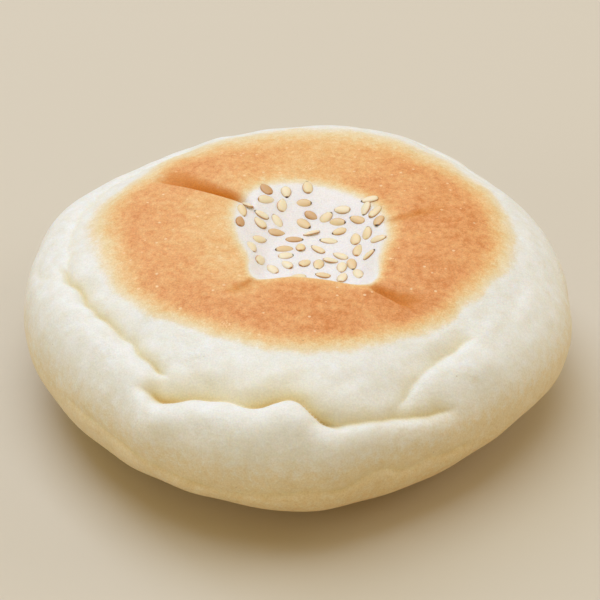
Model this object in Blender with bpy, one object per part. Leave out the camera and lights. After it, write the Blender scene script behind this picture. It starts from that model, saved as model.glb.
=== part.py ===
"""Oyaki: a flat round bun of steamed and griddled wheat dough.

The bun is one piece of dough. Its top was pressed flat under a hot plate, its middle was dented with a
round pin dipped in white sesame, and its side bulged out below the press in soft overlapping folds.
The seeds are baked into the dent's floor, so bun and seeds are one solid.

The frame's origin is under the bun's middle, on the surface that it stands on. +Z is up, the side with
the long folds faces -Y, and +X is to its right. Sizes below are in millimetres. An azimuth is in degrees
round +Z, 0 at -Y and 90 at +X. An arc is a length along the skin, from the middle of the top.
"""

import math

import bmesh
import bpy
import numpy as np
from mathutils import Matrix, Vector

MM = 0.001

# The dough's driving sizes
RADIUS = 51.6  # of the side's fullest line
HEIGHT = 32.5  # of the pressed top above the base
FULLEST = 16.0  # height of the side's fullest line
FLAT_RADIUS = 20.0  # of the part that the press left quite flat
SHOULDER_POWER = 2.2  # superellipse power of the shoulder, round the flat part
FOOT_POWER = 2.3  # and of the skin below the fullest line
FOOT_SINK = 3.0  # how far below the base the lower half would reach if the base weren't flat

# How the outline departs from a circle, seen from above: waves round it, share of radius, azimuth of a crest
OUTLINE_WAVES = (
    (1, 0.004, -2.0),
    (2, 0.017, -22.5),
    (3, 0.005, 31.7),
    (4, 0.028, -11.3),
    (6, 0.005, -4.9),
    (8, 0.004, -22.1),
)

# The dent that the pin left in the top, and its drawn-out corners: azimuth, half width, how far
DENT_CENTRE = (2.7, 0.6)
DENT_HALF_SIZE = (14.6, 15.1)
DENT_DEPTH = 3.0
DENT_FLOOR = 0.45  # share of the dent's reach that is floor at its sides
DENT_FLOOR_LEAN = 0.32  # how much more of it is floor at the front, and less at the back
DENT_CORNERS = ((32.0, 17.0, 4.9), (-34.0, 14.0, 4.3), (-142.0, 40.0, 3.3))

# Furrows in the pressed top, each with a steep near side and a long gentle far side
TOP_FURROWS = (
    dict(start=(-9.6, 10.2), end=(-29.0, 20.5), depth=2.5, near=0.9, far=4.2),
    dict(start=(16.6, 3.4), end=(28.4, 7.9), depth=0.4, near=1.5, far=1.5),
    dict(start=(13.6, -17.0), end=(21.5, -23.0), depth=1.2, near=0.8, far=3.0),
    dict(start=(-8.0, -15.6), end=(-12.6, -20.0), depth=0.5, near=1.6, far=1.6),
)

# Folds of the side. Each runs along its points (azimuth, arc) and is "depth" deep. The skin falls to it over
# "above" from the upper bulge and over "below" from the lower one, which stands proud by "lip", "lip_at" below.
LEFT_FOLD = dict(
    path=((-86, 45.6), (-80, 44.4), (-76, 43.6), (-70, 42.8), (-64, 42.7), (-50, 42.3), (-46, 42.4),
          (-43, 43.2), (-38, 43.4), (-30, 44.2)),
    depth=1.3, above=1.4, below=0.8, lip=1.0, lip_at=5.0,
)
FRONT_FOLD = dict(
    path=((-38, 48.4), (-34, 48.4), (-30, 48.2), (-27, 47.4), (-24, 45.7), (-20, 44.8), (-15, 44.2),
          (-11, 44.9), (-8, 44.5), (-5, 43.7), (-2, 43.5), (1, 44.7), (3, 46.6), (5, 48.3), (9, 49.1), (12, 49.3)),
    depth=2.0, above=2.8, below=0.9, lip=1.4, lip_at=4.6,
)
RIGHT_FOLD = dict(
    path=((1, 48.2), (5, 48.5), (9, 49.1), (16, 49.6), (20, 50.1), (24, 50.9), (28, 51.9), (36, 53.2)),
    depth=1.0, above=1.6, below=0.8, lip=0.7, lip_at=3.0,
)
SIDE_FOLDS = (
    dict(
        path=((-165, 46), (-140, 45), (-118, 44.6), (-100, 44.2), (-92, 43.6), (-86, 43.2), (-78, 43.2)),
        depth=0.35, above=1.6, below=0.8, lip=0.4, lip_at=5.0,
    ),
    LEFT_FOLD,
    dict(
        path=((-94, 51.0), (-86, 49.8), (-80, 46.6), (-76, 43.6)),
        depth=0.3, above=1.0, below=0.8, lip=0.2, lip_at=2.5,
    ),
    FRONT_FOLD,
    RIGHT_FOLD,
    dict(
        path=((19, 49.6), (24, 47.6), (28, 45.4), (31, 44.4), (36, 43.5), (42, 43.0), (52, 42.8)),
        depth=0.6, above=2.2, below=1.4, lip=0.6, lip_at=4.6,
    ),
    dict(
        path=((-56, 58.6), (-44, 58.9), (-30, 60.3), (-22, 61.2), (-10, 61.8), (-5, 60.8), (3, 60.2), (10, 60.3),
              (14, 58.9), (17, 58.4), (20, 59.9), (28, 60.2), (40, 61.6)),
        depth=0.35, above=0.9, below=0.5, lip=0.25, lip_at=2.0,
    ),
    dict(
        path=((122, 50.0), (136, 48.0), (150, 49.2), (164, 47.6), (178, 50.4)),
        depth=0.9, above=2.4, below=0.8, lip=0.4, lip_at=4.0,
    ),
    dict(
        path=((-166, 57.0), (-142, 59.5), (-120, 57.8), (-98, 60.5)),
        depth=0.7, above=1.8, below=0.8, lip=0.4, lip_at=3.0,
    ),
)
FRONT_LINE = FRONT_FOLD["path"] + RIGHT_FOLD["path"][3:]  # where the two run on as one
FOLD_FADE = 6.0  # degrees over which a fold rises from nothing at each end
FOLD_ROUNDING = 0.6  # half the width of a fold's rounded bottom

# Lumps of the side: azimuth, arc, half width, half height, how far each stands out
SIDE_LUMPS = (
    (0.0, 47.5, 5.0, 3.0, 0.8),
    (-11.0, 47.4, 3.0, 2.0, 0.3),
    (-20.0, 48.3, 3.2, 2.0, 0.3),
    (-29.0, 50.6, 3.4, 2.0, 0.3),
)

# Unevenness of the risen dough: wavelength, height on the side, height on the pressed top
UNEVENNESS = ((36.0, 0.45, 0.20), (12.0, 0.10, 0.05))

# Sesame seeds
SEED_COUNT = 51
SEED_LENGTH = 3.3
SEED_WIDTH = 2.0
SEED_THICKNESS = 0.9
SEED_SUNK = 0.5  # share of the thickness that is baked into the dough
SEED_BEADS = (-0.75, 0.0, 0.75)  # a seed takes the room of three round beads, at these places along it
BEAD_SPACING = 1.7  # the nearest that one seed's beads may come to another's
SEED_FIELD_CENTRE = (2.1, 2.4)
SEED_FIELD_HALF_SIZE = (13.0, 13.5)
BARE_CENTRE = (8.5, 13.6)  # of a patch on the dent's far slope where no seed stuck
BARE_HALF_SIZE = (7.5, 3.7)
SEED_DRAW = 25280

# How fine the solid is
COLUMNS = 96
DENSEST_AZIMUTH = -25.0
DENSER = 0.35  # how much closer together the columns stand there than they would evenly
ROWS = 45
ROWS_DOWN = (0, 10, 15, 19, 21, 27, 30, 35, 43, 45)  # after so many rows ...
ROW_ARCS = (0.0, 20.0, 36.0, 41.9, 43.4, 48.2, 50.6, 58.0)  # ... the skin has come this far, then to the base

# The rows that run along the two long folds. Each lies at "arc" where it isn't bent, the rows within "spread"
# bend with it, and it bends from the first to the last of its azimuths, fully between the middle two.
FOLD_ROWS = (
    dict(path=LEFT_FOLD["path"], arc=43.4, spread=4.0, azimuths=(-100, -86, -32, -26)),
    dict(path=FRONT_LINE, arc=48.2, spread=6.0, azimuths=(-46, -38, 40, 80)),
)


def main():
    clear_scene()
    food = new_collection("oyaki")
    bun = add_bun(food)
    seeds = new_collection("sesame")
    for number, place in enumerate(sesame_places()):
        add_seed(seeds, number, place)
    fuse(bun, seeds)
    centre_on_origin(bun)


# The dough's skin


def meridian():
    """The skin's profile as arc length, radius and height, from the top's middle to the base's middle.

    Round the pressed flat top, each half is a quarter of a superellipse, |r/a|^n + |z/b|^n = 1. The lower one
    is cut flat at the base.
    """
    turn = np.linspace(0.0, math.pi / 2, 600)
    upper_radius = FLAT_RADIUS + (RADIUS - FLAT_RADIUS) * np.sin(turn) ** (2 / SHOULDER_POWER)
    upper_height = FULLEST + (HEIGHT - FULLEST) * np.cos(turn) ** (2 / SHOULDER_POWER)
    lower_radius = RADIUS * np.cos(turn[1:]) ** (2 / FOOT_POWER)
    lower_height = FULLEST - (FULLEST + FOOT_SINK) * np.sin(turn[1:]) ** (2 / FOOT_POWER)
    radius = np.concatenate([[0.0], upper_radius, lower_radius])
    height = np.maximum(np.concatenate([[HEIGHT], upper_height, lower_height]), 0.0)
    steps = np.hypot(np.diff(radius), np.diff(height))
    return np.concatenate([[0.0], np.cumsum(steps)]), radius, height


ARC, ARC_RADIUS, ARC_HEIGHT = meridian()
SKIN_LENGTH = ARC[-1]
FOOT_EDGE = ARC[np.argmax(ARC_HEIGHT <= 0.0)]


def smooth_step(value):
    """0 below 0, 1 above 1, and an even S between."""
    value = np.clip(value, 0.0, 1.0)
    return value * value * (3 - 2 * value)


def bell(value):
    """1 at 0, falling evenly on both sides."""
    return np.exp(-value * value)


def turned_from(azimuth, other):
    """Degrees from one azimuth to another, the short way round."""
    return (azimuth - other + 180.0) % 360.0 - 180.0


def smooth_curve(x, points):
    """A cubic through the points: its slope at each one is that of the line between its neighbours."""
    xs, ys = np.array(points, float).T
    slopes = np.gradient(ys, xs)
    x = np.clip(x, xs[0], xs[-1])
    i = np.clip(np.searchsorted(xs, x) - 1, 0, len(xs) - 2)
    span = xs[i + 1] - xs[i]
    t = (x - xs[i]) / span
    return (
        (1 + 2 * t) * (1 - t) ** 2 * ys[i]
        + t * (1 - t) ** 2 * span * slopes[i]
        + t * t * (3 - 2 * t) * ys[i + 1]
        + t * t * (t - 1) * span * slopes[i + 1]
    )


def undulation(points, wavelength, draw):
    """Even, random swells: the sum of a few plane waves of about one wavelength, with a deviation of 1."""
    random = np.random.default_rng(draw)
    waves = 14
    heading = random.normal(size=(waves, 3))
    heading /= np.linalg.norm(heading, axis=1, keepdims=True)
    length = wavelength * random.uniform(0.75, 1.4, waves)
    phase = random.uniform(0, 2 * math.pi, waves)
    turns = points @ (heading / length[:, None]).T * 2 * math.pi + phase
    return np.sin(turns).sum(axis=-1) / math.sqrt(waves / 2)


def fold_relief(azimuth, arc):
    """How far the folds push the skin out, in mm.

    Two rounded bulges meet at a fold's line, so the skin falls to it from both sides, ever more steeply:
    minus depth times e to the minus distance. The lower bulge then stands proud over a distance d, by lip times
    v times e^((1 - v^2) / 2), where v is d / lip_at.
    """
    relief = np.zeros_like(arc)
    for fold in SIDE_FOLDS:
        first, last = fold["path"][0][0], fold["path"][-1][0]
        middle = (first + last) / 2
        along = middle + turned_from(azimuth, middle)
        present = smooth_step((along - first) / FOLD_FADE) * smooth_step((last - along) / FOLD_FADE)
        below = arc - smooth_curve(along, fold["path"])
        away = np.hypot(below, FOLD_ROUNDING) - FOLD_ROUNDING
        reach = np.where(below < 0, fold["above"], fold["below"])
        lip = np.maximum(below, 0) / fold["lip_at"]
        proud = fold["lip"] * lip * np.exp((1 - lip * lip) / 2)
        relief += present * (proud - fold["depth"] * np.exp(-away / reach))
    for azimuth_at, arc_at, half_width, half_height, height in SIDE_LUMPS:
        aside = np.radians(turned_from(azimuth, azimuth_at)) * RADIUS
        relief += height * bell(np.hypot(aside / half_width, (arc - arc_at) / half_height))
    return relief


def bent_to_folds(azimuth, arc):
    """The arc of a row, bent near the long folds so that one row runs along each, which keeps them crisp."""
    bent = arc
    for row in FOLD_ROWS:
        near = smooth_step(np.interp(azimuth, row["azimuths"], (0, 1, 1, 0)))
        shift = smooth_curve(azimuth, row["path"]) - row["arc"]
        bent = bent + near * shift * bell((arc - row["arc"]) / row["spread"])
    return bent


def dent_reach(azimuth):
    """How far the dent's edge lies from its own centre: an ellipse with corners drawn out of it."""
    turn = np.radians(azimuth)
    half_x, half_y = DENT_HALF_SIZE
    reach = 1 / np.sqrt((np.sin(turn) / half_x) ** 2 + (np.cos(turn) / half_y) ** 2)
    for corner, half_width, extra in DENT_CORNERS:
        reach = reach + extra * bell(turned_from(azimuth, corner) / half_width)
    return reach


def top_relief(x, y):
    """How far the dent and the furrows lower the top, in mm.

    The dent's wall is an even S, steep at the front, where its floor reaches furthest, and gentle at the back.
    """
    from_x, from_y = x - DENT_CENTRE[0], y - DENT_CENTRE[1]
    azimuth = np.degrees(np.arctan2(from_x, -from_y))
    share = np.hypot(from_x, from_y) / dent_reach(azimuth)
    floor = DENT_FLOOR + DENT_FLOOR_LEAN * np.cos(np.radians(azimuth))
    fall = DENT_DEPTH * smooth_step((1.03 - share) / (1.03 - floor))
    for furrow in TOP_FURROWS:
        (start_x, start_y), (end_x, end_y) = furrow["start"], furrow["end"]
        run_x, run_y = end_x - start_x, end_y - start_y
        length = math.hypot(run_x, run_y)
        along = ((x - start_x) * run_x + (y - start_y) * run_y) / length
        beyond = np.sign(run_x) * ((y - start_y) * run_x - (x - start_x) * run_y) / length
        width = furrow["far"] * (0.35 + 0.65 * smooth_step(along / length))
        far, near = np.maximum(beyond, 0) / width, np.minimum(beyond, 0) / furrow["near"]
        fade = smooth_step(along / 3 + 1) * smooth_step((length - along) / (0.5 * length))
        fall = fall + furrow["depth"] * fade * np.exp(-far) * bell(near)
    return fall


def outline_swell(azimuth):
    """How much wider the bun is at an azimuth than on average, as a share of its radius."""
    return sum(share * np.cos(waves * np.radians(azimuth - crest)) for waves, share, crest in OUTLINE_WAVES)


def skin(azimuth, arc):
    """The skin's points in mm, as an array with x, y and z last."""
    turn = np.radians(azimuth)
    radius = np.interp(arc, ARC, ARC_RADIUS) * (1 + outline_swell(azimuth))
    height = np.interp(arc, ARC, ARC_HEIGHT)
    ahead = np.clip(arc + 0.5, 0, SKIN_LENGTH)
    behind = np.clip(arc - 0.5, 0, SKIN_LENGTH)
    outward = np.interp(behind, ARC, ARC_HEIGHT) - np.interp(ahead, ARC, ARC_HEIGHT)
    upward = np.interp(ahead, ARC, ARC_RADIUS) - np.interp(behind, ARC, ARC_RADIUS)
    size = np.hypot(outward, upward)
    outward, upward = outward / size, upward / size
    base = np.stack([radius * np.sin(turn), -radius * np.cos(turn), height], axis=-1)
    on_top = smooth_step((44.0 - arc) / 10.0)
    off_base = smooth_step((FOOT_EDGE - arc) / 8.0)
    relief = fold_relief(azimuth, arc)
    for number, (wavelength, side, top) in enumerate(UNEVENNESS):
        relief = relief + (side + (top - side) * on_top) * undulation(base, wavelength, number)
    relief = relief * off_base
    x = base[..., 0] + relief * outward * np.sin(turn)
    y = base[..., 1] - relief * outward * np.cos(turn)
    z = base[..., 2] + relief * upward - top_relief(x, y) * smooth_step((46.0 - arc) / 4.0)
    return np.stack([x, y, np.maximum(z, 0.0)], axis=-1)


def add_bun(collection):
    """The dough: a sphere's rings laid along the skin, closer together over the folds than under the base."""
    mesh = bpy.data.meshes.new("bun")
    ball = bmesh.new()
    bmesh.ops.create_uvsphere(ball, u_segments=COLUMNS, v_segments=ROWS, radius=1.0)
    ball.to_mesh(mesh)
    ball.free()
    places = np.empty(len(mesh.vertices) * 3, np.float32)
    mesh.vertices.foreach_get("co", places)
    x, y, z = places.reshape(-1, 3).astype(float).T
    azimuth = np.degrees(np.arctan2(x, -y))
    azimuth -= DENSER * np.degrees(np.sin(np.radians(azimuth - DENSEST_AZIMUTH)))
    row = np.arccos(np.clip(z, -1, 1)) / math.pi
    arc = bent_to_folds(azimuth, np.interp(row * ROWS, ROWS_DOWN, [*ROW_ARCS, FOOT_EDGE, SKIN_LENGTH]))
    points = skin(azimuth, arc) * MM
    mesh.vertices.foreach_set("co", points.astype(np.float32).ravel())
    mesh.update()
    bun = bpy.data.objects.new("bun", mesh)
    bun.data.materials.append(baked_dough())
    collection.objects.link(bun)
    shade_smooth(bun, 40)
    return bun


# The sesame seeds


def sesame_places():
    """Where the seeds lie: (x, y, heading in degrees, length) for each, in mm.

    They are dropped at random on the dent's rounded floor, one by one. A seed that falls on the bare patch, or
    would touch one that lies there already, is dropped again.
    """
    random = np.random.default_rng(SEED_DRAW)
    places, beads = [], np.empty((0, 2))
    while len(places) < SEED_COUNT:
        place = random.uniform(-1, 1, 2)
        heading = random.uniform(0, 360)
        length = SEED_LENGTH * random.uniform(0.9, 1.1)
        x, y = place * SEED_FIELD_HALF_SIZE + SEED_FIELD_CENTRE
        along = np.array([math.cos(math.radians(heading)), math.sin(math.radians(heading))])
        own = np.array([x, y]) + np.outer(SEED_BEADS, along)
        gaps = np.linalg.norm(own[:, None] - beads[None], axis=-1)
        from_bare = np.hypot(*(np.subtract((x, y), BARE_CENTRE) / BARE_HALF_SIZE))
        if (np.abs(place) ** 3).sum() < 1 < from_bare and (gaps > BEAD_SPACING).all():
            places.append((x, y, heading, length))
            beads = np.concatenate([beads, own])
    return places


def top_height(x, y):
    """Height of the top's skin over a place in plan. Near the middle, an arc is a radius of the unswollen bun."""
    azimuth = np.degrees(np.arctan2(x, -y))
    arc = np.hypot(x, y) / (1 + outline_swell(azimuth))
    return float(skin(azimuth, np.array(arc))[2])


def add_seed(collection, number, place):
    """A seed: a low-sided ball drawn out to a blunt point, lying flat on the dough and partly sunk in it."""
    x, y, heading, length = place
    reach = 0.8
    slope_x = (top_height(x + reach, y) - top_height(x - reach, y)) / (2 * reach)
    slope_y = (top_height(x, y + reach) - top_height(x, y - reach)) / (2 * reach)
    up = Vector((-slope_x, -slope_y, 1)).normalized()
    turn = math.radians(heading)
    along = Vector((math.cos(turn), math.sin(turn), 0))
    along = (along - up * along.dot(up)).normalized()
    middle = Vector((x, y, top_height(x, y))) + up * SEED_THICKNESS * (0.5 - SEED_SUNK)
    seat = Matrix((along, up.cross(along), up)).transposed().to_4x4()
    seat.translation = middle * MM

    mesh = bpy.data.meshes.new(f"seed_{number:02d}")
    ball = bmesh.new()
    bmesh.ops.create_uvsphere(ball, u_segments=6, v_segments=4, radius=0.5)
    for vertex in ball.verts:
        lengthwise = vertex.co.z * 2
        taper = 1 - 0.32 * lengthwise
        vertex.co = Vector(
            (
                length * vertex.co.z * MM,
                SEED_WIDTH * vertex.co.y * taper * MM,
                SEED_THICKNESS * vertex.co.x * (1 - 0.15 * lengthwise) * MM,
            )
        )
    bmesh.ops.recalc_face_normals(ball, faces=ball.faces)
    ball.to_mesh(mesh)
    ball.free()
    seed = bpy.data.objects.new(mesh.name, mesh)
    seed.matrix_world = seat
    collection.objects.link(seed)


def fuse(bun, collection):
    """Joins the seeds to the dough, then removes the loose ones."""
    join = bun.modifiers.new("fuse seeds", "BOOLEAN")
    join.operation = "UNION"
    join.operand_type = "COLLECTION"
    join.collection = collection
    join.solver = "EXACT"
    bpy.context.view_layer.update()
    fused = bpy.data.meshes.new_from_object(bun.evaluated_get(bpy.context.evaluated_depsgraph_get()))
    bun.modifiers.clear()
    bun.data = fused
    bun.data.name = "bun"
    for seed in list(collection.objects):
        bpy.data.objects.remove(seed)
    bpy.data.collections.remove(collection)


def centre_on_origin(bun):
    """Moves the mesh so that the middle of its outline, seen from above, is the origin."""
    corners = np.array(bun.bound_box)
    middle = (corners.min(axis=0) + corners.max(axis=0)) / 2
    bun.data.transform(Matrix.Translation((-middle[0], -middle[1], 0)))


# The scene


def clear_scene():
    for found in list(bpy.data.objects):
        bpy.data.objects.remove(found)


def new_collection(name):
    collection = bpy.data.collections.new(name)
    bpy.context.scene.collection.children.link(collection)
    return collection


def shade_smooth(target, sharp_degrees):
    target.data.shade_smooth()
    target.data.set_sharp_from_angle(angle=math.radians(sharp_degrees))


def baked_dough():
    """Steamed dough: off-white, matt and not metallic."""
    material = bpy.data.materials.new("steamed dough")
    material.use_nodes = True
    shader = material.node_tree.nodes["Principled BSDF"]
    shader.inputs["Base Color"].default_value = (0.83, 0.76, 0.60, 1.0)
    shader.inputs["Roughness"].default_value = 0.62
    shader.inputs["Metallic"].default_value = 0.0
    return material


main()
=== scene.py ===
"""Looks of an oyaki: a flat round bun of steamed and griddled wheat dough.

The sections follow the bun as it is made: the camera and the floor it is seen on, the light, the dough with
its pressed top, its dent and its folds, and the white sesame in the dent. All sizes are in millimetres until
they reach a mesh. An azimuth is in degrees round +Z, 0 at -Y and 90 at +X. An arc is a length along the
skin, from the middle of the top.
"""

import math

import bpy
import numpy as np
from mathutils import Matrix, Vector


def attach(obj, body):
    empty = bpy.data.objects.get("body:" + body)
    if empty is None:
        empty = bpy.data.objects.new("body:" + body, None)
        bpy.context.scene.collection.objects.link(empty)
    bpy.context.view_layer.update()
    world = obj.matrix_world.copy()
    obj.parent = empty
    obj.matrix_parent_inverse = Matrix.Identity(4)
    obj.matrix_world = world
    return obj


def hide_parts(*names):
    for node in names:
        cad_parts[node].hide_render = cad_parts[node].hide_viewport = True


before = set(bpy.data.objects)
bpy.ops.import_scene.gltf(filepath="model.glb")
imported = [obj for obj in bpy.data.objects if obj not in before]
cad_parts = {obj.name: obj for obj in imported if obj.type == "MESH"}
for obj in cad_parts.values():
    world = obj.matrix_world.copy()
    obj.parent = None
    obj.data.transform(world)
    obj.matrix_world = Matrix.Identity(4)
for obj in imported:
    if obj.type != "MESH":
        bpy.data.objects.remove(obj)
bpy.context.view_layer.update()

# The camera and the floor
# The bun is seen from 36 degrees above the floor it stands on, from 450 mm away, through a long lens. The
# floor is pale and matt, and takes no pattern.

MM = 0.001
VIEW_DISTANCE = 450.0
VIEW_ELEVATION = math.radians(36.0)
VIEW_TARGET = Vector((0.6, 0.5, 16.8))
LENS = 142.6
NEAREST_SEEN = 10.0
FLOOR_SIZE = 4000.0
FLOOR_DROP = 0.2


def linear(hex_colour, alpha=1.0):
    """An sRGB hex colour as linear red, green, blue and alpha."""
    channels = [int(hex_colour[i : i + 2], 16) / 255 for i in (1, 3, 5)]
    lit = [c / 12.92 if c <= 0.04045 else ((c + 0.055) / 1.055) ** 2.4 for c in channels]
    return (*lit, alpha)


def new_material(name, **values):
    """A material and its Principled shader, with the shader's plain values set."""
    material = bpy.data.materials.new(name)
    material.use_nodes = True
    shader = material.node_tree.nodes["Principled BSDF"]
    for socket, value in values.items():
        shader.inputs[socket.replace("_", " ")].default_value = value
    return material, shader


camera = bpy.data.objects.new("camera", bpy.data.cameras.new("camera"))
camera.data.lens = LENS
camera.data.clip_start = NEAREST_SEEN * MM
away = Vector((0.0, -math.cos(VIEW_ELEVATION), math.sin(VIEW_ELEVATION)))
camera.location = (VIEW_TARGET + away * VIEW_DISTANCE) * MM
camera.rotation_euler = away.to_track_quat("Z", "Y").to_euler()
bpy.context.scene.collection.objects.link(camera)
bpy.context.scene.camera = camera

half = FLOOR_SIZE / 2 * MM
floor_mesh = bpy.data.meshes.new("floor")
corners = [(-half, -half, 0), (half, -half, 0), (half, half, 0), (-half, half, 0)]
floor_mesh.from_pydata(corners, [], [(0, 1, 2, 3)])
floor = bpy.data.objects.new("floor", floor_mesh)
floor.location.z = -FLOOR_DROP * MM
floor_finish, _ = new_material("matt pale paper", Base_Color=linear("#d0c9ba"), Roughness=0.9)
floor_mesh.materials.append(floor_finish)
bpy.context.scene.collection.objects.link(floor)

# The light
# A broad window behind the bun to the left lights its top, and a large soft sheet over it fills the shadows.
# Weaker lights at the right and at the front left, and a warm room, leave the low front in shade.

ROOM_COLOUR = "#eed191"
ROOM_STRENGTH = 0.59


def add_soft_light(name, place, size, watts, hex_colour):
    """A square area light at a place in millimetres, turned to the bun."""
    light = bpy.data.lights.new(name, "AREA")
    light.size = size * MM
    light.energy = watts
    light.color = linear(hex_colour)[:3]
    lamp = bpy.data.objects.new(name, light)
    lamp.location = Vector(place) * MM
    lamp.rotation_euler = (Vector(place) - VIEW_TARGET).to_track_quat("Z", "Y").to_euler()
    bpy.context.scene.collection.objects.link(lamp)


add_soft_light("window", (-450, 750, 900), 700, 5.0, "#c8daff")
add_soft_light("overhead", (-60, 80, 1100), 900, 7.2, "#dfecff")
add_soft_light("side", (900, 200, 500), 500, 1.5, "#f6f9ff")
add_soft_light("left", (-850, -450, 300), 500, 1.05, "#eef8f4")

world = bpy.data.worlds.new("room")
world.use_nodes = True
world.node_tree.nodes["Background"].inputs["Color"].default_value = linear(ROOM_COLOUR)
world.node_tree.nodes["Background"].inputs["Strength"].default_value = ROOM_STRENGTH
bpy.context.scene.world = world
bpy.context.scene.view_settings.view_transform = "Standard"

# The dough
# One piece of soft wheat dough, steamed and then griddled under a flat plate. The plate pressed the top flat
# and browned it, a round pin dented the middle, and the side bulged out below the press in soft folds.

RADIUS = 51.6
HEIGHT = 32.5
FULLEST = 16.0
FLAT_RADIUS = 20.0
SHOULDER_POWER = 2.2
FOOT_POWER = 2.3
FOOT_SINK = 3.0
PROFILE_POINTS = 1500
# How many swells go round the bun, their height as a share of its radius, and the azimuth of one crest
OUTLINE_WAVES = (
    (1, 0.004, -2.0),
    (2, 0.017, -22.5),
    (3, 0.005, 31.7),
    (4, 0.028, -11.3),
    (6, 0.005, -4.9),
    (8, 0.004, -22.1),
)

DENT_CENTRE = (2.7, 0.6)
DENT_HALF_SIZE = (14.6, 15.1)
DENT_DEPTH = 3.0
DENT_EDGE = 1.03
DENT_FLOOR = 0.45
DENT_FLOOR_LEAN = 0.32
# Azimuth, half width in degrees, and how much further out the edge is drawn
DENT_CORNERS = ((32.0, 17.0, 4.9), (-34.0, 14.0, 4.3), (-142.0, 40.0, 3.3))

# Near and far are how wide a furrow's wall is in front of its line and behind it
TOP_FURROWS = (
    dict(start=(-9.6, 10.2), end=(-29.0, 20.5), depth=2.5, near=0.9, far=4.2),
    dict(start=(16.6, 3.4), end=(28.4, 7.9), depth=0.4, near=1.5, far=1.5),
    dict(start=(13.6, -17.0), end=(21.5, -23.0), depth=1.2, near=0.8, far=3.0),
    dict(start=(-8.0, -15.6), end=(-12.6, -20.0), depth=0.5, near=1.6, far=1.6),
)
FURROW_NARROWEST = 0.35
FURROW_LEAD_IN = 3.0
FURROW_AT_START = 0.6
FURROW_TAIL = 0.5
FURROW_DARKENING_WIDTH = 1.4
FURROW_FULLY_DARK_DEPTH = 2.0

# A path is in azimuths and arcs. The skin sinks over the distances above and below it, and the lip stands
# proud by its height at lip_at below it.
SIDE_FOLDS = (
    dict(
        path=((-165, 46), (-140, 45), (-118, 44.6), (-100, 44.2), (-92, 43.6), (-86, 43.2), (-78, 43.2)),
        depth=0.35, above=1.6, below=0.8, lip=0.4, lip_at=5.0,
    ),
    dict(
        path=((-86, 45.6), (-80, 44.4), (-76, 43.6), (-70, 42.8), (-64, 42.7), (-50, 42.3), (-46, 42.4),
              (-43, 43.2), (-38, 43.4), (-30, 44.2)),
        depth=1.1, above=1.2, below=0.4, lip=1.0, lip_at=5.0,
    ),
    dict(
        path=((-94, 51.0), (-86, 49.8), (-80, 46.6), (-76, 43.6)),
        depth=0.3, above=1.0, below=0.8, lip=0.2, lip_at=2.5,
    ),
    dict(
        path=((-38, 48.4), (-34, 48.4), (-30, 48.2), (-27, 47.4), (-24, 45.7), (-20, 44.8), (-15, 44.2),
              (-11, 44.9), (-8, 44.5), (-5, 43.7), (-2, 43.5), (1, 44.7), (3, 46.6), (5, 48.3), (9, 49.1),
              (12, 49.3)),
        depth=1.8, above=2.5, below=0.4, lip=1.4, lip_at=4.6,
    ),
    dict(
        path=((1, 48.2), (5, 48.5), (9, 49.1), (16, 49.6), (20, 50.1), (24, 50.9), (28, 51.9), (36, 53.2)),
        depth=1.0, above=1.6, below=0.6, lip=0.7, lip_at=3.0,
    ),
    dict(
        path=((19, 49.6), (24, 47.6), (28, 45.4), (31, 44.4), (36, 43.5), (42, 43.0), (52, 42.8)),
        depth=0.6, above=2.2, below=1.4, lip=0.6, lip_at=4.6,
    ),
    dict(
        path=((-56, 58.6), (-44, 58.9), (-30, 60.3), (-22, 61.2), (-10, 61.8), (-5, 60.8), (3, 60.2),
              (10, 60.3), (14, 58.9), (17, 58.4), (20, 59.9), (28, 60.2), (40, 61.6)),
        depth=0.35, above=0.9, below=0.5, lip=0.25, lip_at=2.0,
    ),
    dict(
        path=((122, 50.0), (136, 48.0), (150, 49.2), (164, 47.6), (178, 50.4)),
        depth=0.9, above=2.4, below=0.8, lip=0.4, lip_at=4.0,
    ),
    dict(
        path=((-166, 57.0), (-142, 59.5), (-120, 57.8), (-98, 60.5)),
        depth=0.7, above=1.8, below=0.8, lip=0.4, lip_at=3.0,
    ),
)
FOLD_FADE = 6.0
FOLD_ROUNDING = 0.2
FOLD_WAVER = 0.14
FOLD_WAVER_LENGTH = 5.0
FOLD_SWELL_LENGTH = 8.0
FOLD_SWELL_DRAW = 20
FOLD_SHADE_BELOW = 0.4
FOLD_SHADE_FULL_DEPTH = 1.4
# Azimuth, arc, half width, half height and how far it stands out
SIDE_LUMPS = (
    (0.0, 47.5, 5.0, 3.0, 0.8),
    (-11.0, 47.4, 3.0, 2.0, 0.3),
    (-20.0, 48.3, 3.2, 2.0, 0.3),
    (-29.0, 50.6, 3.4, 2.0, 0.3),
)
# Wavelength, and height on the side and on the top
UNEVENNESS = ((36.0, 0.45, 0.20), (12.0, 0.10, 0.05))
RIPPLE_LENGTH = 4.5
RIPPLE_HEIGHT = 0.09
RIPPLE_BAND = (43.0, 8.0)
RIPPLE_TURN_RADIUS = 20.0
RIPPLE_DRAW = 5
NORMAL_STEP = 0.5
TOP_END = 44.0
TOP_FADE = 10.0
CAP_END = 46.0
CAP_FADE = 4.0
FOOT_FADE = 8.0

COLUMNS = 440
ROW_SHARES = (0.0, 0.36, 0.78, 0.92, 1.0)
ROW_ARCS = (0.0, 37.0, 62.0, 80.0)
ROWS = 214
DENSEST_AZIMUTH = -25.0
DENSER = 0.4


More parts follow.
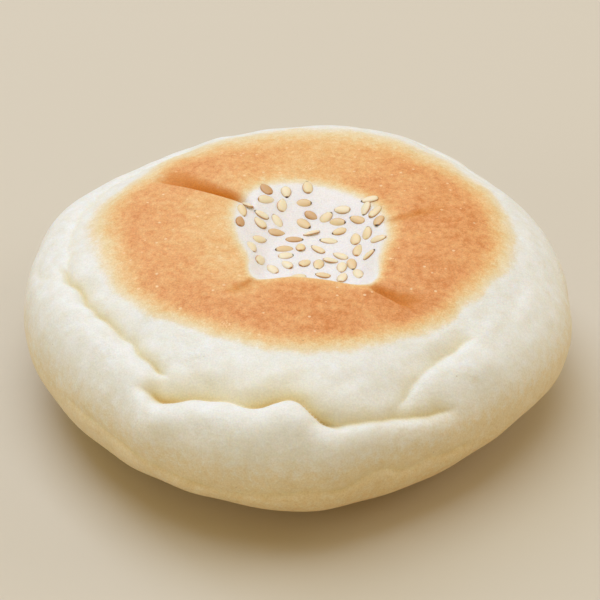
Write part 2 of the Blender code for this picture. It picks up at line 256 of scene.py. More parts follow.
def meridian():
    """The skin's profile as arc length, radius and height, from the top's middle to the base's middle.

    Round the pressed flat top, each half is a quarter of a superellipse, |r/a|^n + |z/b|^n = 1. The lower one
    is cut flat at the base.
    """
    turn = np.linspace(0.0, math.pi / 2, PROFILE_POINTS)
    upper_radius = FLAT_RADIUS + (RADIUS - FLAT_RADIUS) * np.sin(turn) ** (2 / SHOULDER_POWER)
    upper_height = FULLEST + (HEIGHT - FULLEST) * np.cos(turn) ** (2 / SHOULDER_POWER)
    lower_radius = RADIUS * np.cos(turn[1:]) ** (2 / FOOT_POWER)
    lower_height = FULLEST - (FULLEST + FOOT_SINK) * np.sin(turn[1:]) ** (2 / FOOT_POWER)
    radius = np.concatenate([[0.0], upper_radius, lower_radius])
    height = np.maximum(np.concatenate([[HEIGHT], upper_height, lower_height]), 0.0)
    steps = np.hypot(np.diff(radius), np.diff(height))
    return np.concatenate([[0.0], np.cumsum(steps)]), radius, height


ARC, ARC_RADIUS, ARC_HEIGHT = meridian()
SKIN_LENGTH = ARC[-1]
FOOT_EDGE = ARC[np.argmax(ARC_HEIGHT <= 0.0)]


def smooth_step(value):
    """0 below 0, 1 above 1, and an even S between: 3v^2 - 2v^3."""
    value = np.clip(value, 0.0, 1.0)
    return value * value * (3 - 2 * value)


def bell(value):
    """1 at 0, falling evenly on both sides: e to the minus v squared."""
    return np.exp(-value * value)


def turned_from(azimuth, other):
    """Degrees from one azimuth to another, the short way round."""
    return (azimuth - other + 180.0) % 360.0 - 180.0


def smooth_curve(x, points):
    """A cubic through the points: its slope at each one is that of the line between its neighbours."""
    xs, ys = np.array(points, float).T
    slopes = np.gradient(ys, xs)
    x = np.clip(x, xs[0], xs[-1])
    i = np.clip(np.searchsorted(xs, x) - 1, 0, len(xs) - 2)
    span = xs[i + 1] - xs[i]
    t = (x - xs[i]) / span
    return (
        (1 + 2 * t) * (1 - t) ** 2 * ys[i]
        + t * (1 - t) ** 2 * span * slopes[i]
        + t * t * (3 - 2 * t) * ys[i + 1]
        + t * t * (t - 1) * span * slopes[i + 1]
    )


def undulation(points, wavelength, draw):
    """Even, random swells: the sum of plane waves of about one wavelength, with a deviation of 1."""
    random = np.random.default_rng(draw)
    waves = 14
    heading = random.normal(size=(waves, 3))
    heading /= np.linalg.norm(heading, axis=1, keepdims=True)
    length = wavelength * random.uniform(0.75, 1.4, waves)
    phase = random.uniform(0, 2 * math.pi, waves)
    turns = points @ (heading / length[:, None]).T * 2 * math.pi + phase
    return np.sin(turns).sum(axis=-1) / math.sqrt(waves / 2)


def fold_relief(azimuth, arc):
    """How far the folds push the skin out, and how near each point is to a fold's line, 0 to 1.

    Two rounded bulges meet at a fold's line, so the skin falls to it from both sides, ever more steeply:
    minus depth times e to the minus distance. The lower bulge then stands proud over a distance d, by lip
    times v times e^((1 - v^2) / 2), where v is d / lip_at. How near a point is to a fold's line sets the
    painted shade that darkens the fold's hollow in the colour.
    """
    relief = np.zeros_like(arc)
    crease = np.zeros_like(arc)
    for number, fold in enumerate(SIDE_FOLDS):
        first, last = fold["path"][0][0], fold["path"][-1][0]
        middle = (first + last) / 2
        along = middle + turned_from(azimuth, middle)
        present = smooth_step((along - first) / FOLD_FADE) * smooth_step((last - along) / FOLD_FADE)
        run = np.radians(along)[..., None] * (RADIUS, 0, 0)
        waver = FOLD_WAVER * undulation(run, FOLD_WAVER_LENGTH, number)
        below = arc - smooth_curve(along, fold["path"]) - waver
        swell = FOLD_WAVER * undulation(run, FOLD_SWELL_LENGTH, number + FOLD_SWELL_DRAW)
        present = present * (1 + swell)
        away = np.hypot(below, FOLD_ROUNDING) - FOLD_ROUNDING
        reach = np.where(below < 0, fold["above"], fold["below"])
        lip = np.maximum(below, 0) / fold["lip_at"]
        proud = fold["lip"] * lip * np.exp((1 - lip * lip) / 2)
        relief += present * (proud - fold["depth"] * np.exp(-away / reach))
        # Painted shade: the fold's hollow is darkened in the colour, fading over the reach above its line and
        # in a narrow bell below it.
        shade = np.where(below < 0, np.exp(-away / fold["above"]), bell(below / FOLD_SHADE_BELOW))
        crease = np.maximum(crease, present * min(fold["depth"] / FOLD_SHADE_FULL_DEPTH, 1) * shade)
    for azimuth_at, arc_at, half_width, half_height, height in SIDE_LUMPS:
        aside = np.radians(turned_from(azimuth, azimuth_at)) * RADIUS
        relief += height * bell(np.hypot(aside / half_width, (arc - arc_at) / half_height))
    return relief, crease


def dent_reach(azimuth):
    """How far the dent's edge lies from its own centre: an ellipse with corners drawn out of it."""
    turn = np.radians(azimuth)
    half_x, half_y = DENT_HALF_SIZE
    reach = 1 / np.sqrt((np.sin(turn) / half_x) ** 2 + (np.cos(turn) / half_y) ** 2)
    for corner, half_width, extra in DENT_CORNERS:
        reach = reach + extra * bell(turned_from(azimuth, corner) / half_width)
    return reach


def dent_share(x, y):
    """0 at the dent's centre and 1 at its edge, and the azimuth from its centre."""
    x, y = x - DENT_CENTRE[0], y - DENT_CENTRE[1]
    azimuth = np.degrees(np.arctan2(x, -y))
    return np.hypot(x, y) / dent_reach(azimuth), azimuth


def top_relief(x, y):
    """How far the dent and the furrows lower the top, and how much a place lies in a furrow, 0 to 1.

    The dent's wall is an even S, steep at the front, where its floor reaches furthest, and gentle at the
    back. A furrow falls as e to the minus distance behind its line, and as a bell in front of it. How much a
    place lies in a furrow sets its darker colour, partly deeper browning and partly painted shade.
    """
    share, azimuth = dent_share(x, y)
    floor = DENT_FLOOR + DENT_FLOOR_LEAN * np.cos(np.radians(azimuth))
    dent = DENT_DEPTH * smooth_step((DENT_EDGE - share) / (DENT_EDGE - floor))
    furrows = np.zeros_like(dent)
    inside = np.zeros_like(dent)
    for furrow in TOP_FURROWS:
        (start_x, start_y), (end_x, end_y) = furrow["start"], furrow["end"]
        run_x, run_y = end_x - start_x, end_y - start_y
        length = math.hypot(run_x, run_y)
        along = ((x - start_x) * run_x + (y - start_y) * run_y) / length
        beyond = np.sign(run_x) * ((y - start_y) * run_x - (x - start_x) * run_y) / length
        widening = FURROW_NARROWEST + (1 - FURROW_NARROWEST) * smooth_step(along / length)
        far = np.maximum(beyond, 0) / (furrow["far"] * widening)
        near = np.minimum(beyond, 0) / furrow["near"]
        fade = smooth_step(along / FURROW_LEAD_IN + FURROW_AT_START)
        fade = fade * smooth_step((length - along) / (FURROW_TAIL * length))
        furrows = furrows + furrow["depth"] * fade * np.exp(-far) * bell(near)
        # Where the furrow is darkened in the colour: partly deeper browning, partly painted shade on its far
        # slope.
        darkened = fade * smooth_step(FURROW_DARKENING_WIDTH - far) * bell(2 * near)
        inside = np.maximum(inside, darkened * min(furrow["depth"] / FURROW_FULLY_DARK_DEPTH, 1))
    return dent + furrows, inside


def outline_swell(azimuth):
    """How much wider the bun is at an azimuth than on average, as a share of its radius."""
    return sum(share * np.cos(waves * np.radians(azimuth - crest)) for waves, share, crest in OUTLINE_WAVES)


def skin(azimuth, arc):
    """The skin's points in mm, and how far each lies in a fold and in a furrow of the top, 0 to 1."""
    turn = np.radians(azimuth)
    radius = np.interp(arc, ARC, ARC_RADIUS) * (1 + outline_swell(azimuth))
    height = np.interp(arc, ARC, ARC_HEIGHT)
    ahead = np.clip(arc + NORMAL_STEP, 0, SKIN_LENGTH)
    behind = np.clip(arc - NORMAL_STEP, 0, SKIN_LENGTH)
    outward = np.interp(behind, ARC, ARC_HEIGHT) - np.interp(ahead, ARC, ARC_HEIGHT)
    upward = np.interp(ahead, ARC, ARC_RADIUS) - np.interp(behind, ARC, ARC_RADIUS)
    size = np.hypot(outward, upward)
    outward, upward = outward / size, upward / size
    base = np.stack([radius * np.sin(turn), -radius * np.cos(turn), height], axis=-1)
    on_top = smooth_step((TOP_END - arc) / TOP_FADE)
    off_base = smooth_step((FOOT_EDGE - arc) / FOOT_FADE)
    relief, crease = fold_relief(azimuth, arc)
    for number, (wavelength, side, top) in enumerate(UNEVENNESS):
        relief = relief + (side + (top - side) * on_top) * undulation(base, wavelength, number)
    drawn_out = (RIPPLE_TURN_RADIUS * np.sin(turn), RIPPLE_TURN_RADIUS * np.cos(turn), arc)
    band = bell((arc - RIPPLE_BAND[0]) / RIPPLE_BAND[1])
    ripples = undulation(np.stack(drawn_out, axis=-1), RIPPLE_LENGTH, RIPPLE_DRAW)
    relief = (relief + RIPPLE_HEIGHT * band * ripples) * off_base
    x = base[..., 0] + relief * outward * np.sin(turn)
    y = base[..., 1] - relief * outward * np.cos(turn)
    lowered, furrow = top_relief(x, y)
    on_cap = smooth_step((CAP_END - arc) / CAP_FADE)
    z = base[..., 2] + relief * upward - lowered * on_cap
    return np.stack([x, y, np.maximum(z, 0.0)], axis=-1), crease * off_base, furrow * on_cap


def closed_skins(points, tops, bottoms):
    """Vertices and faces of closed skins, each made of rings of points with a tip at either end.

    The points are skins x rows x columns. A skin's vertices are its points and then its two tips.
    """
    skins, rows, columns = points.shape[:3]
    tips = np.stack([tops, bottoms], axis=1)
    vertices = np.concatenate([points.reshape(skins, -1, 3), tips], axis=1)
    ring = np.arange(columns)
    following = (ring + 1) % columns
    here = np.arange(rows - 1)[:, None] * columns
    below = here + columns
    quads = np.stack([here + ring, below + ring, below + following, here + following], axis=-1)
    last = (rows - 1) * columns
    lid = np.stack([np.full(columns, rows * columns), ring, following], axis=-1)
    sole = np.stack([np.full(columns, rows * columns + 1), last + following, last + ring], axis=-1)
    starts = np.arange(skins)[:, None, None] * vertices.shape[1]
    faces = []
    for loops in (quads.reshape(-1, 4), lid, sole):
        faces += (loops + starts).reshape(-1, loops.shape[1]).tolist()
    return vertices.reshape(-1, 3), faces


def new_piece(name, vertices, faces, **attributes):
    """A smooth mesh object, from points in mm, with one number kept on each vertex for each attribute."""
    mesh = bpy.data.meshes.new(name)
    mesh.from_pydata((np.asarray(vertices) * MM).tolist(), [], faces)
    for attribute, values in attributes.items():
        kept = mesh.attributes.new(attribute, "FLOAT", "POINT")
        kept.data.foreach_set("value", np.asarray(values, np.float32).ravel())
    mesh.shade_smooth()
    mesh.update()
    piece = bpy.data.objects.new(name, mesh)
    bpy.context.scene.collection.objects.link(piece)
    return piece


even = np.linspace(-180.0, 180.0, COLUMNS, endpoint=False)
azimuths = even - DENSER * np.degrees(np.sin(np.radians(even - DENSEST_AZIMUTH)))
arcs = np.interp(np.arange(1, ROWS + 1) / (ROWS + 1), ROW_SHARES, (*ROW_ARCS, SKIN_LENGTH))
azimuth_grid, arc_grid = np.meshgrid(azimuths, arcs)
points, crease, furrow = skin(azimuth_grid, arc_grid)
tips, _, _ = skin(np.array([0.0, 0.0]), np.array([0.0, SKIN_LENGTH]))
vertices, faces = closed_skins(points[None], tips[:1], tips[1:])

# Where the griddle plate browned it: a disc that bulges where the top stood higher, less the dent. It is
# brownest at the front and right, where the plate pressed most, and paler at the back. Left of the dent it
# browned only slowly. The foot is darkened too, most at the front: partly browned where the base lay on the
# griddle, and partly painted shade low on the side.

BROWNED_CENTRE = (1.8, 3.0)
BROWNED_RADIUS = 34.9
# Wavelength, height and draw
BROWNED_WAVER = ((25.0, 0.3, 11), (6.0, 0.2, 12))
# Azimuth, half width in degrees, and how much further out it is browned
BROWNED_BULGES = (
    (-104, 25, 3.6),
    (-120, 7, -2.4),
    (-59, 14, 1.9),
    (0, 22, 1.3),
    (82, 25, 0.6),
    (177, 36, -2.4),
)
BROWNED_EDGE = 6.5
# Degrees from the front, over how many more, and how much wider the edge gets
BROWNED_EDGE_WIDENS = ((35.0, 50.0, 2.5), (115.0, 40.0, 5.0))
BROWN = 0.98
BROWN_LEAN = 0.09
BROWNEST_AZIMUTH = 45.0
# Azimuth, half width in degrees, and how much browner
BROWN_PATCHES = ((176.0, 32.0, -0.24), (-132.0, 24.0, 0.08))
RIM_EDGE = 1.2
RIM_EDGE_WIDENS = (25.0, 50.0, 2.4)
RIM_BROWN = 0.66
RIM_WIDTH = 3.0
SLOW_AZIMUTH = -88.0
SLOW_HALF_WIDTH = 60.0
SLOW_FULL = 1.35
SLOW_WIDTH = 13.0
# The foot's darkening: partly griddle browning, partly painted shade at the low front.
FOOT_BROWN_AND_SHADE = 0.5
FOOT_DARKENED_HEIGHT = 26.0
FOOT_DARKEST_AZIMUTH = 20.0
FOOT_DARKENING_LEAN = 0.35
DENT_CLEAN_EDGE = 2.5
PRESSED_FROM = 12.0
PRESSED_FADE = 4.0


def pressed(z):
    """0 low on the side and 1 near the top, where the plate can reach."""
    return smooth_step((z - PRESSED_FROM) / PRESSED_FADE)


def browning(places):
    """0 on pale dough and 1 on full brown: 1 inside a wavering circle, less the dent, with soft edges."""
    x, y, z = places.T
    flat = np.stack([x, y, 0 * z], axis=-1)
    from_centre = np.hypot(x - BROWNED_CENTRE[0], y - BROWNED_CENTRE[1])
    azimuth = np.degrees(np.arctan2(x - BROWNED_CENTRE[0], BROWNED_CENTRE[1] - y))
    reach = BROWNED_RADIUS
    for wavelength, height, draw in BROWNED_WAVER:
        reach = reach + height * undulation(flat, wavelength, draw)
    for bulge, half_width, extra in BROWNED_BULGES:
        reach = reach + extra * bell(turned_from(azimuth, bulge) / half_width)
    edge = BROWNED_EDGE
    for start, over, wider in BROWNED_EDGE_WIDENS:
        edge = edge + wider * smooth_step((np.abs(azimuth) - start) / over)
    plate = smooth_step(0.5 - (from_centre - reach) / edge)
    most = BROWN + BROWN_LEAN * np.cos(np.radians(azimuth - BROWNEST_AZIMUTH))
    for patch, half_width, browner in BROWN_PATCHES:
        most = most + browner * bell(turned_from(azimuth, patch) / half_width)

    share, azimuth = dent_share(x, y)
    outside = (share - 1) * dent_reach(azimuth)
    start, over, wider = RIM_EDGE_WIDENS
    soft = RIM_EDGE + wider * smooth_step((np.abs(azimuth) - start) / over)
    rim = smooth_step(0.5 + outside / soft)
    slow = smooth_step(SLOW_FULL - np.abs(turned_from(azimuth, SLOW_AZIMUTH)) / SLOW_HALF_WIDTH)
    browned_through = RIM_BROWN + (1 - RIM_BROWN) * smooth_step(outside / (RIM_WIDTH + SLOW_WIDTH * slow))

    # The foot is darkened, most at the front: partly browning where it lay on the griddle, partly painted
    # shade low on the side.
    foot_brown_and_shade = FOOT_BROWN_AND_SHADE * smooth_step((FOOT_DARKENED_HEIGHT - z) / FOOT_DARKENED_HEIGHT)
    lean = FOOT_DARKENING_LEAN * np.cos(np.radians(azimuth - FOOT_DARKEST_AZIMUTH))
    return plate * most * rim * browned_through * pressed(z) + foot_brown_and_shade * (1 - FOOT_DARKENING_LEAN + lean)


def in_dent(places):
    """0 outside the dent and 1 on its floor, rising over its edge."""
    x, y, z = places.T
    share, azimuth = dent_share(x, y)
    return smooth_step((1 - share) * dent_reach(azimuth) / DENT_CLEAN_EDGE) * pressed(z)


middle = (vertices.min(axis=0) + vertices.max(axis=0)) / 2
SHIFT = np.array([middle[0], middle[1], 0.0])
bun = new_piece(
    "dough",
    vertices - SHIFT,
    faces,
    brown=browning(vertices),
    dent=in_dent(vertices),
    crease=np.append(crease.ravel(), [0, 0]),
    furrow=np.append(furrow.ravel(), [0, 0]),
)

# Steamed dough is a soft white that light sinks a little way into, so its shadows turn cream. Griddling turns
# it straw yellow and then orange brown, as a dry and finely pored skin. Pale blisters stand in the brown, the
# dent stays clean, the folds get painted cream and golden shade in their hollows, and the dough wrinkles
# finely where it dried.

MATH = "ShaderNodeMath"
MIX = "ShaderNodeMixRGB"
# Size in mm, detail and roughness of the pores, lumps, patches, creamy spots and wrinkles
DOUGH_GRAINS = ((0.3, 2.0, 0.5), (1.2, 3.0, 0.6), (7.0, 4.0, 0.6), (2.4, 4.0, 0.6), (1.4, 4.0, 0.65))
HALF_BROWNED_SPREAD = 1.1
HALF_BROWNED_PORES = -1.4
BROWNED_PATCHES = 0.6
BROWNED_LUMPS = 0.8
BROWNED_PORES = -0.55
MOST_DONE = 0.8
# From pale to browned
CRUST_COLOURS = (
    (0.0, "#ebeff1"),
    (0.09, "#ebdfc4"),
    (0.24, "#ead5aa"),
    (0.40, "#eac793"),
    (0.56, "#e9bb82"),
    (0.72, "#e5ab72"),
    (0.80, "#e2a36b"),
    (1.0, "#d4894e"),
)
CREAMY = 0.18
DEEPEST_SHADE_POWER = 5.0
# Spacing and size in mm, and the share of the places that have one
FLAKES = (8.0, 1.1, 0.5)
BLISTERS = (2.2, 0.34, 0.6)
BRAN = (5.5, 0.16, 0.35)
SPECK_SHARPNESS = 3.0
FLAKE_RAGGEDNESS = 9.0
FURROW_DARKENING_POWER = 0.45
FURROW_BROWNED = 1.5
PORE_SHADE = 0.3
BROWNED_PORE_SHADE = 0.2
DOUGH_ROUGHNESS = 0.5
BROWNED_ROUGHER = 0.12
DRY_SHARPNESS = 4.0
WRINKLES = 1.2
DRY_WRINKLES = 4.0
PORE_RELIEF = 0.3
RELIEF_DEPTH = 0.06


def add_node(material, kind, inputs=None, output=0, stops=(), **settings):
    """Adds a node with its settings, and returns one of its outputs.

    Each input gets a value or another node's output, and a colour ramp its rising stops of position and
    colour, of which the first and last are its own two ends.
    """
    made = material.node_tree.nodes.new(kind)
    for name, value in settings.items():
        setattr(made, name, value)
    for name, value in (inputs or {}).items():
        if isinstance(value, bpy.types.NodeSocket):
            material.node_tree.links.new(value, made.inputs[name])
        else:
            made.inputs[name].default_value = value
    for position, _ in stops[1:-1]:
        made.color_ramp.elements.new(position)
    for number, (position, hex_colour) in enumerate(stops):
        made.color_ramp.elements[number].position = position
        made.color_ramp.elements[number].color = linear(hex_colour)
    return made.outputs[output]


def specks(material, place, spacing, size, share):
    """1 in round specks of a size in mm, one to each cell of a spacing, in only a share of the cells.

    A speck is the sharpness times one minus distance over size, kept from 0 to 1.
    """
    cells = {"Vector": place, "Scale": 1 / (spacing * MM)}
    distance = add_node(material, "ShaderNodeTexVoronoi", cells, output="Distance")
    red = add_node(material, "ShaderNodeSeparateColor", {"Color": distance.node.outputs["Color"]})
    kept = add_node(material, MATH, {0: red, 1: share}, operation="LESS_THAN")
    apart = add_node(material, MATH, {0: distance, 1: size / spacing}, operation="DIVIDE")
    inside = add_node(material, MATH, {0: 1.0, 1: apart}, operation="SUBTRACT")
    inside = add_node(material, MATH, {0: inside, 1: SPECK_SHARPNESS}, operation="MULTIPLY", use_clamp=True)
    return add_node(material, MATH, {0: kept, 1: inside}, operation="MULTIPLY")


dough, shader = new_material(
    "steamed wheat dough",
    Subsurface_Weight=0.2,
    Subsurface_Radius=(1.0, 0.6, 0.35),
    Subsurface_Scale=0.002,
    Specular_IOR_Level=0.3,
)
place = add_node(dough, "ShaderNodeTexCoord", output="Object")
browned, clean, painted_fold_shade, furrow_shade_and_brown = (
    add_node(dough, "ShaderNodeAttribute", output="Fac", attribute_name=name)
    for name in ("brown", "dent", "crease", "furrow")
)
noises = []
for size, detail, roughness in DOUGH_GRAINS:
    inputs = {"Vector": place, "Scale": 1 / (size * MM), "Detail": detail, "Roughness": roughness}
    noises.append(add_node(dough, "ShaderNodeTexNoise", inputs))
pores, _, _, _, wrinkles = noises
pores_apart, lumps_apart, patches_apart, creams_apart = (
    add_node(dough, MATH, {0: noise, 1: 0.5}, operation="SUBTRACT") for noise in noises[:4]
)

# How well done it is: as browned as the plate left it, but uneven in the brown and ragged where it is half
# browned, along its edges.
paler = add_node(dough, MATH, {0: 1.0, 1: browned}, operation="SUBTRACT")
half_way = add_node(dough, MATH, {0: browned, 1: paler}, operation="MULTIPLY")
half_way = add_node(dough, MATH, {0: half_way, 1: HALF_BROWNED_SPREAD}, operation="MULTIPLY")
inputs = {0: pores_apart, 1: HALF_BROWNED_PORES, 2: lumps_apart}
ragged = add_node(dough, MATH, inputs, operation="MULTIPLY_ADD")
patchy = 0.0
weights = ((patches_apart, BROWNED_PATCHES), (lumps_apart, BROWNED_LUMPS), (pores_apart, BROWNED_PORES))
for noise, weight in weights:
    patchy = add_node(dough, MATH, {0: noise, 1: weight, 2: patchy}, operation="MULTIPLY_ADD")
done = add_node(dough, MATH, {0: patchy, 1: browned, 2: browned}, operation="MULTIPLY_ADD")
done = add_node(dough, MATH, {0: ragged, 1: half_way, 2: done}, operation="MULTIPLY_ADD")
done = add_node(dough, MATH, {0: done, 1: MOST_DONE}, operation="MULTIPLY")
crust = add_node(dough, "ShaderNodeValToRGB", {"Fac": done}, stops=CRUST_COLOURS)

# What lies over that colour, each layer over the ones before it: creamy spots, the clean dent, painted shade
# in the folds and at their bottoms, blisters and flakes in the brown, the furrows' darker colour, partly
# browning and partly painted shade, and specks of bran.
cream = add_node(dough, MATH, {0: creams_apart, 1: CREAMY}, operation="ADD", use_clamp=True)
deepest_fold_shade = add_node(dough, MATH, {0: painted_fold_shade, 1: DEEPEST_SHADE_POWER}, operation="POWER")
torn = add_node(dough, MATH, {0: pores_apart, 1: FLAKE_RAGGEDNESS}, operation="MULTIPLY", use_clamp=True)
flakes = add_node(dough, MATH, {0: specks(dough, place, *FLAKES), 1: torn}, operation="MULTIPLY")
blisters = add_node(dough, MATH, {0: specks(dough, place, *BLISTERS), 1: flakes}, operation="MAXIMUM")
blisters = add_node(dough, MATH, {0: blisters, 1: browned}, operation="MULTIPLY")
# The furrows darken the colour, only in the brown: partly deeper browning, partly painted shade.
in_brown = add_node(dough, MATH, {0: browned, 1: FURROW_BROWNED}, operation="MULTIPLY", use_clamp=True)
furrow_shade_and_brown = add_node(dough, MATH, {0: furrow_shade_and_brown, 1: FURROW_DARKENING_POWER}, operation="POWER")
furrow_shade_and_brown = add_node(dough, MATH, {0: furrow_shade_and_brown, 1: in_brown}, operation="MULTIPLY")
layers = (
    (cream, 1.0, "#ede3c6", "MULTIPLY"),
    (clean, 0.75, "#ece9ec", "MIX"),
    (painted_fold_shade, 0.8, "#e6d89f", "MIX"),
    (deepest_fold_shade, 0.45, "#d9b878", "MIX"),
    (blisters, 0.65, "#f6dcb4", "MIX"),
    (furrow_shade_and_brown, 1.0, "#c87708", "MIX"),
    (specks(dough, place, *BRAN), 0.5, "#8c6b3c", "MIX"),
)
for covered, strength, hex_colour, blend in layers:
    covered = add_node(dough, MATH, {0: covered, 1: strength}, operation="MULTIPLY")
    inputs = {"Fac": covered, "Color1": crust, "Color2": linear(hex_colour)}
    crust = add_node(dough, MIX, inputs, blend_type=blend)
shade = add_node(dough, MATH, {0: browned, 1: BROWNED_PORE_SHADE, 2: PORE_SHADE}, operation="MULTIPLY_ADD")
shade = add_node(dough, MATH, {0: shade, 1: pores_apart, 2: 1.0}, operation="MULTIPLY_ADD")
crust = add_node(dough, MIX, {"Fac": 1.0, "Color1": crust, "Color2": shade}, blend_type="MULTIPLY")
dough.node_tree.links.new(crust, shader.inputs["Base Color"])

# Its gloss and its fine relief: pores, which are deeper in the brown, and wrinkles, which are deeper in the
# dry patches of the pale dough.
rough = add_node(dough, MATH, {0: browned, 1: BROWNED_ROUGHER, 2: DOUGH_ROUGHNESS}, operation="MULTIPLY_ADD")
dough.node_tree.links.new(rough, shader.inputs["Roughness"])
dry = add_node(dough, MATH, {0: patches_apart, 1: DRY_SHARPNESS}, operation="MULTIPLY", use_clamp=True)
dry = add_node(dough, MATH, {0: dry, 1: paler}, operation="MULTIPLY")
dryness = add_node(dough, MATH, {0: dry, 1: DRY_WRINKLES, 2: WRINKLES}, operation="MULTIPLY_ADD")
wrinkles = add_node(dough, MATH, {0: wrinkles, 1: dryness}, operation="MULTIPLY")
pored = add_node(dough, MATH, {0: browned, 1: PORE_RELIEF}, operation="ADD")
relief = add_node(dough, MATH, {0: pores, 1: pored, 2: wrinkles}, operation="MULTIPLY_ADD")
bump = add_node(dough, "ShaderNodeBump", {"Height": relief, "Strength": 1.0, "Distance": RELIEF_DEPTH * MM})
dough.node_tree.links.new(bump, shader.inputs["Normal"])
bun.data.materials.append(dough)
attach(bun, "root")
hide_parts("bun")

# The sesame
# Whole white sesame seeds, which stuck in the dent as it was pressed. Each is a flat drop about 3.2 mm long,
# with a golden edge round its pale faces, partly its own colour and partly painted shade, and most keep a
# dark speck on the pointed end.

SEED_COUNT = 51
SEED_LENGTH = 3.3
SEED_WIDTH = 2.0
SEED_THICKNESS = 0.8
SEED_SPREAD = (0.9, 1.1)
SEED_THICKNESS_SPREAD = (0.85, 1.1)
SEED_SUNK = 0.5
SEED_ROLL = 9.0
SEED_PITCH = 4.0
SEED_BEADS = (-0.75, 0.0, 0.75)
BEAD_SPACING = 1.7
SLOPE_REACH = 1.3
SEED_FIELD_CENTRE = (2.1, 2.4)
SEED_FIELD_HALF_SIZE = (13.0, 13.5)
BARE_CENTRE = (8.5, 13.6)
BARE_HALF_SIZE = (7.5, 3.7)
SEED_DRAW = 25280
SEED_ROWS = 17
SEED_COLUMNS = 20
BLUNT_POWER = 0.5
POINTED_WIDTH_POWER = 0.66
POINTED_HEIGHT_POWER = 0.6
SEED_FLATNESS = 0.72
SPECKLED = (-0.4, 2.2)
SPECK_FROM = 0.83
SPECK_FADE = 0.06
EDGE_WIDTH = 0.45
END_WIDTH = 0.12
COAT_COLOURS = ((0.0, "#f1e6ca"), (0.5, "#eeddb6"), (0.8, "#e6cba0"), (0.93, "#cfa67a"), (1.0, "#b08e72"))
EDGE_TINT_AND_SHADE_STRENGTH = 0.95


def sesame_places():
    """Where the seeds lie, as arrays of x, y, heading in degrees and length.

    They are dropped at random on the dent's rounded floor, one by one. A seed that falls on the bare patch,
    or would touch one that lies there already, is dropped again.
    """
    random = np.random.default_rng(SEED_DRAW)
    places, beads = [], np.empty((0, 2))
    while len(places) < SEED_COUNT:
        place = random.uniform(-1, 1, 2)
        heading = random.uniform(0, 360)
        length = SEED_LENGTH * random.uniform(*SEED_SPREAD)
        x, y = place * SEED_FIELD_HALF_SIZE + SEED_FIELD_CENTRE
        along = np.array([math.cos(math.radians(heading)), math.sin(math.radians(heading))])
        own = np.array([x, y]) + np.outer(SEED_BEADS, along)
        gaps = np.linalg.norm(own[:, None] - beads[None], axis=-1)
        from_bare = np.hypot(*(np.subtract((x, y), BARE_CENTRE) / BARE_HALF_SIZE))
        if (np.abs(place) ** 3).sum() < 1 < from_bare and (gaps > BEAD_SPACING).all():
            places.append((x, y, heading, length))
            beads = np.concatenate([beads, own])
    return np.array(places).T


def top_height(x, y):
    """Height of the skin over places in plan. On the flat top an arc is a radius of the unswollen bun."""
    azimuth = np.degrees(np.arctan2(x, -y))
    points, _, _ = skin(azimuth, np.hypot(x, y) / (1 + outline_swell(azimuth)))
    return points[..., 2]


def unit(vectors):
    """The vectors, each cut to a length of 1."""
    return vectors / np.linalg.norm(vectors, axis=-1, keepdims=True)


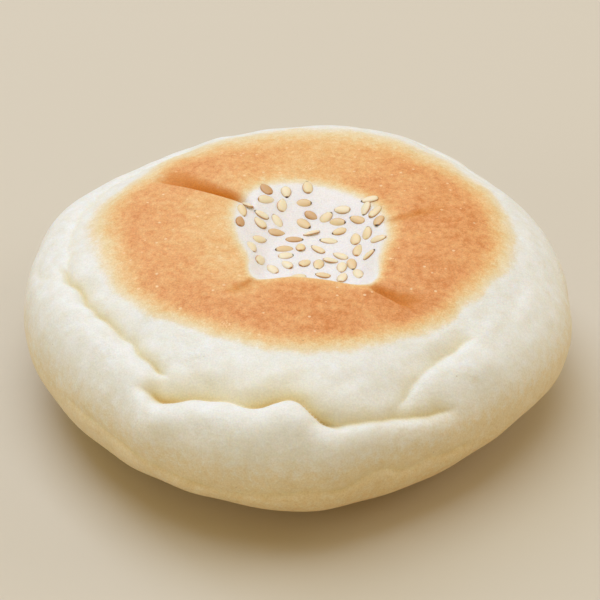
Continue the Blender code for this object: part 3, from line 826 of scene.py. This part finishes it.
def add_sesame():
    """All the seeds as one mesh, each of rings round its length, from its point to its blunt end.

    A ring's half width and half height are a power of its distance from the blunt end times a power of that
    from the point, so that the seed is a drop. A ring is an ellipse, flattened above and below.
    """
    x, y, heading, length = sesame_places()
    random = np.random.default_rng(SEED_DRAW + 1)
    count = len(x)
    width = SEED_WIDTH * random.uniform(*SEED_SPREAD, count)
    thickness = SEED_THICKNESS * random.uniform(*SEED_THICKNESS_SPREAD, count)
    rolled = np.radians(random.normal(0, SEED_ROLL, count))
    pitched = np.radians(random.normal(0, SEED_PITCH, count))
    tone = random.uniform(0, 1, count) ** 2
    speck = smooth_step(random.uniform(*SPECKLED, count))

    slope_x = (top_height(x + SLOPE_REACH, y) - top_height(x - SLOPE_REACH, y)) / (2 * SLOPE_REACH)
    slope_y = (top_height(x, y + SLOPE_REACH) - top_height(x, y - SLOPE_REACH)) / (2 * SLOPE_REACH)
    up = unit(np.stack([-slope_x, -slope_y, np.ones(count)], axis=-1))
    turn = np.radians(heading)
    along = np.stack([np.cos(turn), np.sin(turn), np.zeros(count)], axis=-1)
    along = unit(along - up * (along * up).sum(axis=-1, keepdims=True))
    seat = np.stack([x, y, top_height(x, y)], axis=-1) + up * (thickness * (0.5 - SEED_SUNK))[:, None]
    along = unit(along + up * np.tan(pitched)[:, None])
    across = unit(np.cross(up, along) + up * np.tan(rolled)[:, None])
    up = np.cross(along, across)

    lengthwise = np.cos(math.pi * np.arange(1, SEED_ROWS + 1) / (SEED_ROWS + 1))
    blunt, pointed = (1 + lengthwise) / 2, (1 - lengthwise) / 2
    half_width = blunt**BLUNT_POWER * pointed**POINTED_WIDTH_POWER
    half_width /= half_width.max()
    half_height = blunt**BLUNT_POWER * pointed**POINTED_HEIGHT_POWER
    half_height /= half_height.max()
    round_it = 2 * math.pi * np.arange(SEED_COLUMNS) / SEED_COLUMNS
    sideways, upward = np.cos(round_it), np.sin(round_it)
    upward = upward * (SEED_FLATNESS + (1 - SEED_FLATNESS) * np.abs(upward))

    forth = length[:, None] / 2 * lengthwise
    aside = width[:, None, None] / 2 * half_width[:, None] * sideways
    above = thickness[:, None, None] / 2 * half_height[:, None] * upward
    rings = seat[:, None, None] + forth[..., None, None] * along[:, None, None]
    rings = rings + aside[..., None] * across[:, None, None] + above[..., None] * up[:, None, None]
    tip = (length / 2)[:, None] * along
    vertices, faces = closed_skins(rings, seat + tip, seat - tip)

    at_point = smooth_step((lengthwise - SPECK_FROM) / SPECK_FADE)[:, None] * np.ones(SEED_COLUMNS)
    # The edge's golden tint: partly the coat's own colour, partly painted shade round the rim and at the
    # ends.
    edge_tint_and_shade = bell(np.sin(round_it) / EDGE_WIDTH)
    edge_tint_and_shade = np.maximum(edge_tint_and_shade, bell((1 - np.abs(lengthwise)) / END_WIDTH)[:, None])
    return new_piece(
        "sesame",
        vertices - SHIFT,
        faces,
        point=speck[:, None] * np.append(at_point, [1, 0]),
        edge=np.tile(np.append(edge_tint_and_shade, [1, 1]), count),
        tone=np.repeat(tone, SEED_ROWS * SEED_COLUMNS + 2),
    )


# The seed's coat is thin and faintly glossy, so it is pale where it lies on the kernel. Its edge is golden,
# partly its own colour and partly painted shade round the seed's rim.
sesame = add_sesame()
coat, shader = new_material(
    "white sesame seed coat",
    Roughness=0.42,
    Subsurface_Weight=0.25,
    Subsurface_Radius=(1.0, 0.6, 0.3),
    Subsurface_Scale=0.0008,
    Specular_IOR_Level=0.4,
)
tone, edge, point = (
    add_node(coat, "ShaderNodeAttribute", output="Fac", attribute_name=name)
    for name in ("tone", "edge", "point")
)
colour = add_node(coat, "ShaderNodeValToRGB", {"Fac": tone}, stops=COAT_COLOURS)
edge = add_node(coat, MATH, {0: edge, 1: EDGE_TINT_AND_SHADE_STRENGTH}, operation="MULTIPLY")
for covered, hex_colour in ((edge, "#ab6a14"), (point, "#2e1608")):
    colour = add_node(coat, MIX, {"Fac": covered, "Color1": colour, "Color2": linear(hex_colour)})
coat.node_tree.links.new(colour, shader.inputs["Base Color"])
sesame.data.materials.append(coat)
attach(sesame, "root")
